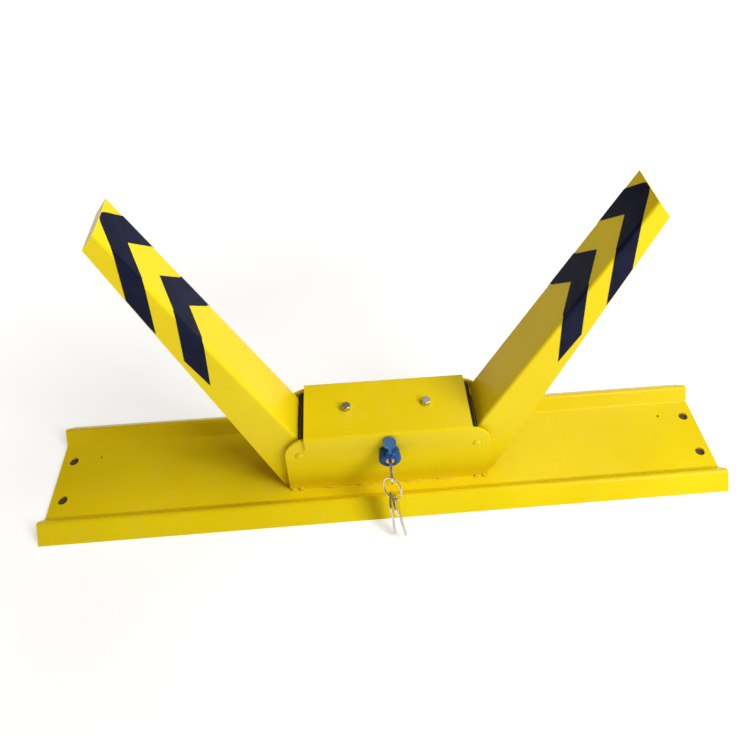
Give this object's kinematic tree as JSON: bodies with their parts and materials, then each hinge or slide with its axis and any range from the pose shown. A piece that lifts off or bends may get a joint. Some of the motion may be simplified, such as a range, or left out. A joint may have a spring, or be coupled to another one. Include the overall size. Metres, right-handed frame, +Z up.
{
  "type": "folding parking lock",
  "caption": "Folding parking lock: a long folded-steel tray with a central lock box and two hinged channel arms raised in a V, held by key-operated sliding latch bolts.",
  "frame": {"origin": "on the ground, under the centre of the tray", "axes": "+X along the tray to the right, +Y towards the back (the lock faces -Y), +Z up"},
  "size_m": [0.7, 0.1726, 0.3236],
  "materials": {
    "yellow_powder_coat": "semi-gloss powder coat with a fine orange-peel texture",
    "zinc_plated_steel": "bright zinc plate",
    "bare_steel": "oiled mill finish",
    "brass": "turned, slightly dulled",
    "nickel_plate": "bright nickel plate with fine scratches",
    "blue_plastic": "moulded, semi-gloss",
    "pale_blue_plastic": "moulded, semi-gloss",
    "nylon": "natural nylon, matt",
    "dark_reflective_film": "dark retroreflective film, satin"
  },
  "bodies": {
    "root": {"base_plate": "yellow_powder_coat", "front_cheek": "yellow_powder_coat", "rear_cheek": "yellow_powder_coat", "cover": "yellow_powder_coat", "left_cover_bridge": "zinc_plated_steel", "right_cover_bridge": "zinc_plated_steel", "left_cover_bolt": "zinc_plated_steel", "right_cover_bolt": "zinc_plated_steel", "left_cover_nut": "zinc_plated_steel", "right_cover_nut": "zinc_plated_steel", "left_pivot_pin": "yellow_powder_coat", "right_pivot_pin": "yellow_powder_coat", "left_pin_clip": "zinc_plated_steel", "right_pin_clip": "zinc_plated_steel", "left_front_washer": "nylon", "left_rear_washer": "nylon", "right_front_washer": "nylon", "right_rear_washer": "nylon", "left_stop_bar": "bare_steel", "right_stop_bar": "bare_steel", "left_bolt_guide": "zinc_plated_steel", "right_bolt_guide": "zinc_plated_steel", "left_guide_screw": "zinc_plated_steel", "right_guide_screw": "zinc_plated_steel", "lock_barrel": "zinc_plated_steel", "lock_nut": "zinc_plated_steel", "lock_cap": "blue_plastic", "dust_cover_pin": "zinc_plated_steel"},
    "left_arm_body": {"left_arm": "yellow_powder_coat", "left_pivot_sleeve": "bare_steel", "left_latch_lug": "bare_steel", "left_tip_chevron": "dark_reflective_film", "left_middle_chevron": "dark_reflective_film"},
    "right_arm_body": {"right_arm": "yellow_powder_coat", "right_pivot_sleeve": "bare_steel", "right_latch_lug": "bare_steel", "right_tip_chevron": "dark_reflective_film", "right_middle_chevron": "dark_reflective_film"},
    "plug_body": {"lock_plug": "brass", "cam_plate": "zinc_plated_steel", "cam_screw": "zinc_plated_steel", "left_cam_pin": "bare_steel", "right_cam_pin": "bare_steel"},
    "left_bolt_body": {"left_latch_bolt": "zinc_plated_steel"},
    "right_bolt_body": {"right_latch_bolt": "zinc_plated_steel"},
    "dust_cover_body": {"dust_cover": "pale_blue_plastic"},
    "key_body": {"key": "nickel_plate"},
    "ring_body": {"key_ring": "nickel_plate"},
    "spare_key_1_body": {"spare_key_1": "nickel_plate"},
    "spare_key_2_body": {"spare_key_2": "nickel_plate"}
  },
  "joints": [
    {"name": "left_arm_fold", "type": "hinge", "parent": "root", "child": "left_arm_body", "pos_m": [-0.0872, 0, 0.0627], "axis": [0, -1, 0], "range_deg": [0, 76.5]},
    {"name": "right_arm_fold", "type": "hinge", "parent": "root", "child": "right_arm_body", "pos_m": [0.0872, 0, 0.0627], "axis": [0, 1, 0], "range_deg": [0, 76.5]},
    {"name": "key_turn", "type": "hinge", "parent": "root", "child": "plug_body", "pos_m": [0, 0, 0.0605], "axis": [0, 1, 0], "range_deg": [0, 90]},
    {"name": "left_bolt_slide", "type": "slide", "parent": "root", "child": "left_bolt_body", "axis": [-1, 0, 0], "range_m": [0, 0.0136]},
    {"name": "right_bolt_slide", "type": "slide", "parent": "root", "child": "right_bolt_body", "axis": [1, 0, 0], "range_m": [0, 0.0136]},
    {"name": "dust_cover_flip", "type": "hinge", "parent": "root", "child": "dust_cover_body", "pos_m": [0, -0.0442, 0.0734], "axis": [1, 0, 0], "range_deg": [0, 115]},
    {"name": "key_pull", "type": "slide", "parent": "plug_body", "child": "key_body", "axis": [0, -1, 0], "range_m": [0, 0.028]},
    {"name": "ring_swing", "type": "hinge", "parent": "key_body", "child": "ring_body", "pos_m": [0, -0.0645, 0.0605], "axis": [-1, 0, 0], "range_deg": [0, 50]},
    {"name": "spare_key_1_swing", "type": "hinge", "parent": "ring_body", "child": "spare_key_1_body", "pos_m": [-0.00173, -0.07323, 0.04053], "axis": [-0.9889, 0.1, -0.11], "range_deg": [0, 30]},
    {"name": "spare_key_2_swing", "type": "hinge", "parent": "ring_body", "child": "spare_key_2_body", "pos_m": [0.00173, -0.07618, 0.04209], "axis": [-0.965, 0.01, -0.262], "range_deg": [0, 30]}
  ],
  "couplings": [
    {"joint": "left_bolt_slide", "follows": "key_turn", "m_per_rad": 0.008553},
    {"joint": "right_bolt_slide", "follows": "key_turn", "m_per_rad": 0.008553}
  ]
}
